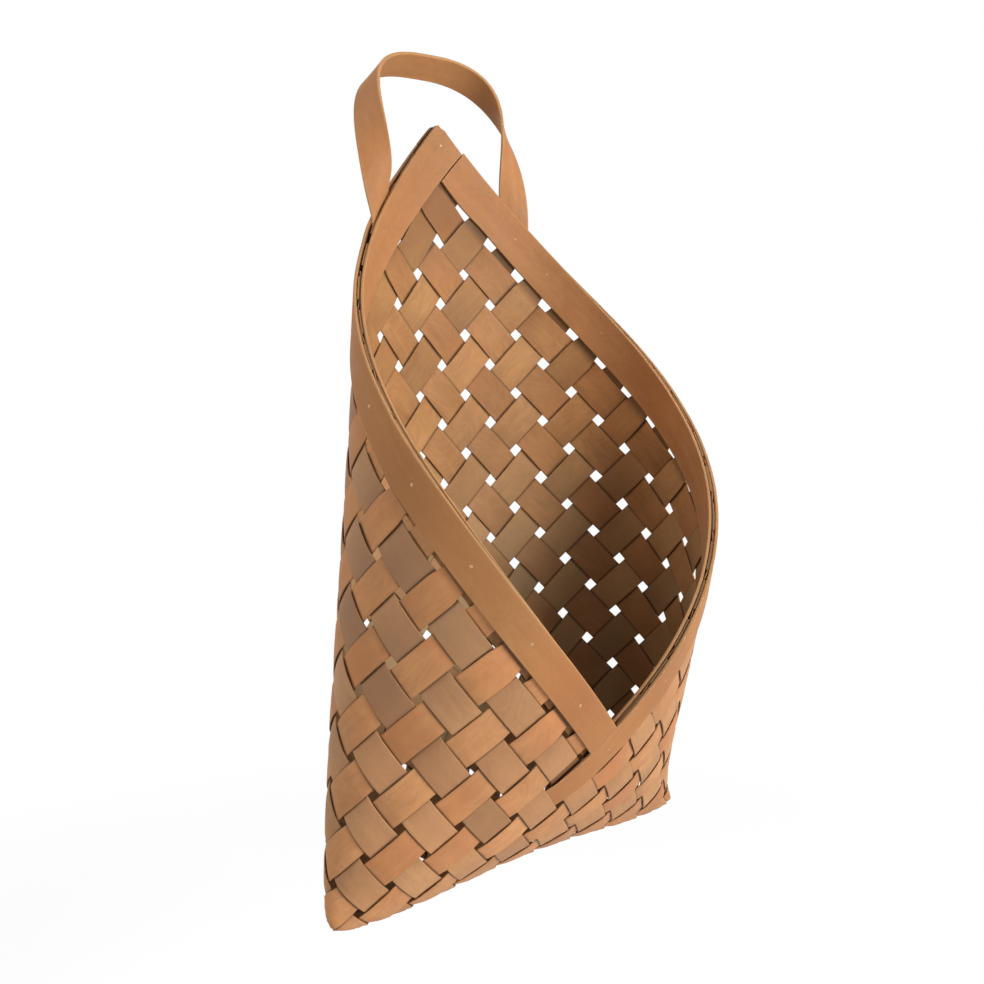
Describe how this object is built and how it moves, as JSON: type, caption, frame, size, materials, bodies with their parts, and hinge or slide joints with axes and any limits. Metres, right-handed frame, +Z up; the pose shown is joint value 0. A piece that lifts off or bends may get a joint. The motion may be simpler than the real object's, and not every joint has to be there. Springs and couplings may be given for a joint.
{
  "type": "hanging envelope basket",
  "caption": "Hanging wall basket plaited on the bias from flat wooden splints, with a folded envelope pocket, crossing rim bands and a bent wooden hanging loop.",
  "frame": {"origin": "middle of the underside of the crown of the hanging loop, where a hook or peg carries it", "axes": "+Z up as it hangs, +Y towards the wall behind it, +X to the right seen from the front"},
  "size_m": [0.2524, 0.1648, 0.4443],
  "materials": {
    "splint_grey": "raw chip-wood splint, greyish brown, satin, fine grain along the splint",
    "splint_warm": "raw chip-wood splint, orange brown, satin, fine grain along the splint",
    "band_wood": "smooth bent wooden band, tan, satin, with paler sanded edges",
    "brad_steel": "small dull steel brads, clinched"
  },
  "bodies": {
    "root": {"band_left_inner": "band_wood", "band_left_outer": "band_wood", "band_right_inner": "band_wood", "band_right_outer": "band_wood", "brad_left_3": "brad_steel", "brad_left_5": "brad_steel", "brad_left_7": "brad_steel", "brad_left_9": "brad_steel", "brad_left_11": "brad_steel", "brad_left_13": "brad_steel", "brad_left_15": "brad_steel", "brad_loop_left": "brad_steel", "brad_loop_right": "brad_steel", "brad_peak": "brad_steel", "brad_right_3": "brad_steel", "brad_right_5": "brad_steel", "brad_right_7": "brad_steel", "brad_right_9": "brad_steel", "brad_right_11": "brad_steel", "brad_right_13": "brad_steel", "brad_right_15": "brad_steel", "brad_valley": "brad_steel", "loop": "band_wood", "splint_left_1": "splint_warm", "splint_left_2": "splint_warm", "splint_left_3": "splint_warm", "splint_left_4": "splint_warm", "splint_left_5": "splint_warm", "splint_left_6": "splint_warm", "splint_left_7": "splint_warm", "splint_left_15": "splint_warm", "splint_left_16": "splint_warm", "splint_right_1": "splint_grey", "splint_right_2": "splint_grey", "splint_right_3": "splint_grey", "splint_right_4": "splint_grey", "splint_right_5": "splint_grey", "splint_right_6": "splint_grey", "splint_right_7": "splint_grey", "splint_right_15": "splint_grey", "splint_right_16": "splint_grey"}
  },
  "joints": []
}
